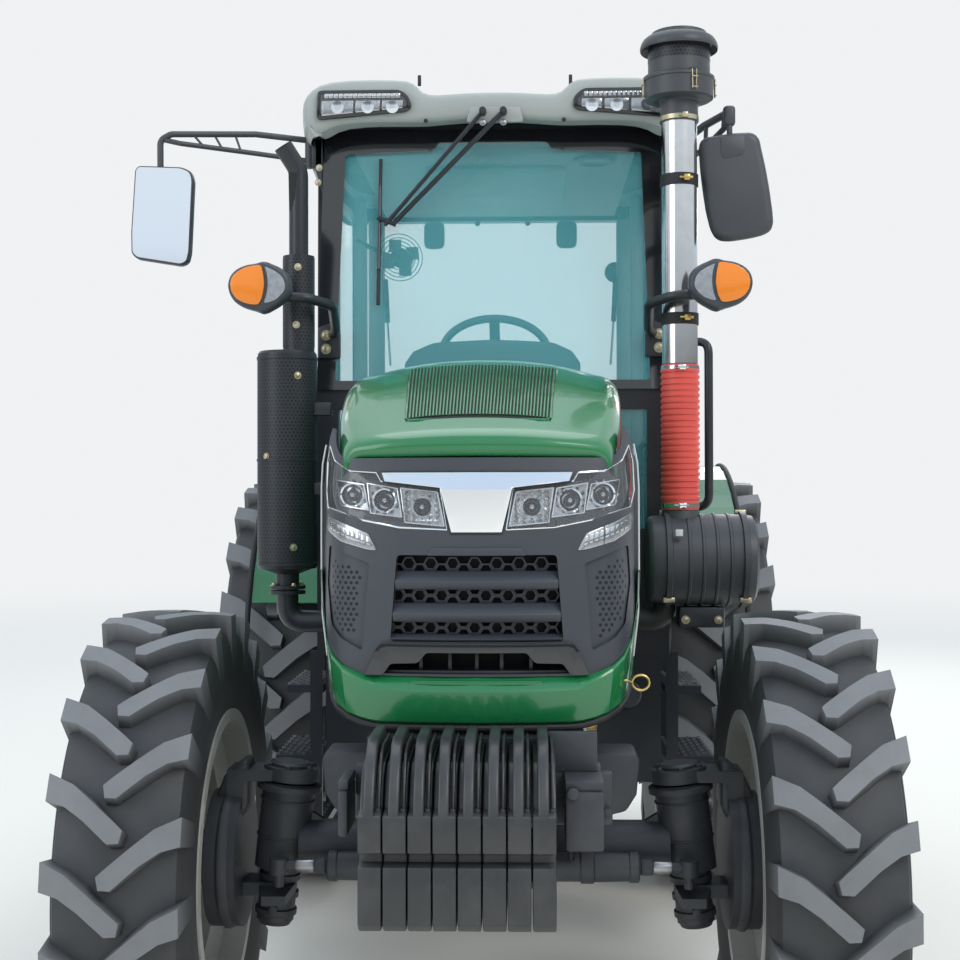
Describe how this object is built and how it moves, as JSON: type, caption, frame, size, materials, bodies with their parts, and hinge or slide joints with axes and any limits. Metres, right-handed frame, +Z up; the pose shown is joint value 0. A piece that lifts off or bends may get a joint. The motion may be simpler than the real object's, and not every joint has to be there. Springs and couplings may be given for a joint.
{
  "type": "farm tractor",
  "caption": "Four-wheel-drive farm tractor with a glazed cab, a hinged hood, front weights, stacks beside the hood and a rear hitch.",
  "frame": {"origin": "on the ground, under the middle of the whole outline", "axes": "+Z up, the tractor faces -Y, +X is its own left side"},
  "size_m": [2.245, 4.4562, 3.02],
  "materials": {
    "green_paint": "gloss enamel",
    "black_paint": "satin enamel",
    "casting": "painted dark, dusty",
    "rim_paint": "satin enamel",
    "tyre_rubber": "matt, worn on the lugs",
    "dark_plastic": "grained",
    "roof_plastic": "smooth satin",
    "cab_glass": "clear with a green tint",
    "lamp_glass": "clear lenses over chrome",
    "chrome": "polished",
    "steel": "polished tube",
    "bare_steel": "worn",
    "red_hose": "smooth silicone",
    "fabric": "woven"
  },
  "bodies": {
    "tractor": {"engine_block": "casting", "front_frame": "casting", "weight_carrier": "casting", "front_weights": "casting", "front_axle": "casting", "transmission_housing": "casting", "cab_floor": "black_paint", "cab_frame": "black_paint", "cab_roof": "roof_plastic", "fixed_glass": "cab_glass", "rear_fenders": "green_paint", "side_tanks": "dark_plastic", "cab_steps": "black_paint", "work_lamps": "lamp_glass", "mirrors": "dark_plastic", "cab_tubework": "black_paint", "dash_console": "dark_plastic", "seat": "fabric", "muffler": "black_paint", "exhaust_pipe": "black_paint", "intake_pipe": "steel", "intake_hose": "red_hose", "pre_cleaner": "dark_plastic", "air_cleaner": "dark_plastic", "drawbar": "bare_steel", "top_link": "bare_steel"},
    "hood": {"hood_shell": "green_paint", "nose_mask": "dark_plastic", "nose_apron": "green_paint", "headlamps": "lamp_glass", "nose_trim": "chrome"},
    "door_left": {"door_left": "black_paint", "door_glass_left": "cab_glass"},
    "door_right": {"door_right": "black_paint", "door_glass_right": "cab_glass"},
    "knuckle_left": {"knuckle_left": "casting"},
    "knuckle_right": {"knuckle_right": "casting"},
    "tie_rod": {"steering_rod": "bare_steel"},
    "front_wheel_left": {"rim_front_left": "rim_paint", "tyre_front_left": "tyre_rubber"},
    "front_wheel_right": {"rim_front_right": "rim_paint", "tyre_front_right": "tyre_rubber"},
    "rear_wheel_left": {"rim_rear_left": "rim_paint", "tyre_rear_left": "tyre_rubber"},
    "rear_wheel_right": {"rim_rear_right": "rim_paint", "tyre_rear_right": "tyre_rubber"},
    "steering_wheel": {"steering_wheel": "dark_plastic"},
    "lower_links": {"lower_links": "black_paint"},
    "lift_arms": {"lift_arms": "black_paint"},
    "lift_rods": {"lift_rods": "bare_steel"},
    "pto_shaft": {"pto_shaft": "bare_steel"}
  },
  "joints": [
    {"name": "hood_hinge", "type": "hinge", "parent": "tractor", "child": "hood", "pos_m": [0.0675, -0.378, 1.945], "axis": [-1, 0, 0], "range_deg": [0, 50]},
    {"name": "door_left_hinge", "type": "hinge", "parent": "tractor", "child": "door_left", "pos_m": [0.7675, 0.767, 2], "axis": [0, 0, 1], "range_deg": [0, 70]},
    {"name": "door_right_hinge", "type": "hinge", "parent": "tractor", "child": "door_right", "pos_m": [-0.6325, 0.767, 2], "axis": [0, 0, -1], "range_deg": [0, 70]},
    {"name": "steer_left", "type": "hinge", "parent": "tractor", "child": "knuckle_left", "pos_m": [0.5925, -1.313, 0.668], "axis": [-0.1132, 0, 0.9936], "range_deg": [-35, 35]},
    {"name": "steer_right", "type": "hinge", "parent": "tractor", "child": "knuckle_right", "pos_m": [-0.4575, -1.313, 0.668], "axis": [0.1132, 0, 0.9936], "range_deg": [-35, 35]},
    {"name": "tie_rod_slide", "type": "slide", "parent": "tractor", "child": "tie_rod", "axis": [1, 0, 0], "range_m": [-0.0792, 0.0792]},
    {"name": "front_left_spin", "type": "hinge", "parent": "knuckle_left", "child": "front_wheel_left", "pos_m": [0.8775, -1.313, 0.64], "axis": [1, 0, 0], "continuous": true},
    {"name": "front_right_spin", "type": "hinge", "parent": "knuckle_right", "child": "front_wheel_right", "pos_m": [-0.7425, -1.313, 0.64], "axis": [1, 0, 0], "continuous": true},
    {"name": "rear_left_spin", "type": "hinge", "parent": "tractor", "child": "rear_wheel_left", "pos_m": [0.9075, 1.187, 0.82], "axis": [1, 0, 0], "continuous": true},
    {"name": "rear_right_spin", "type": "hinge", "parent": "tractor", "child": "rear_wheel_right", "pos_m": [-0.7725, 1.187, 0.82], "axis": [1, 0, 0], "continuous": true},
    {"name": "steering_wheel_turn", "type": "hinge", "parent": "tractor", "child": "steering_wheel", "pos_m": [0.0675, 0.207, 2.09], "axis": [0, 0.5736, 0.8192], "range_deg": [-560, 560]},
    {"name": "lower_links_lift", "type": "hinge", "parent": "tractor", "child": "lower_links", "pos_m": [0.0675, 1.327, 0.5], "axis": [1, 0, 0], "range_deg": [-8, 26]},
    {"name": "lift_arms_turn", "type": "hinge", "parent": "tractor", "child": "lift_arms", "pos_m": [0.0675, 1.327, 0.93], "axis": [1, 0, 0], "range_deg": [-10.45, 32.82]},
    {"name": "lift_rods_turn", "type": "hinge", "parent": "lift_arms", "child": "lift_rods", "pos_m": [0.0675, 1.64576, 0.84459], "axis": [1, 0, 0], "range_deg": [-36, 11.42]},
    {"name": "pto_spin", "type": "hinge", "parent": "tractor", "child": "pto_shaft", "pos_m": [0.0675, 1.447, 0.66], "axis": [0, 1, 0], "continuous": true}
  ],
  "couplings": [
    {"joint": "steer_right", "follows": "steer_left", "ratio": 1},
    {"joint": "tie_rod_slide", "follows": "steer_left", "m_per_rad": 0.128},
    {"joint": "steering_wheel_turn", "follows": "steer_left", "ratio": 16},
    {"joint": "lift_arms_turn", "follows": "lower_links_lift", "ratio": 1.2432},
    {"joint": "lift_rods_turn", "follows": "lower_links_lift", "ratio": -1.3653}
  ]
}
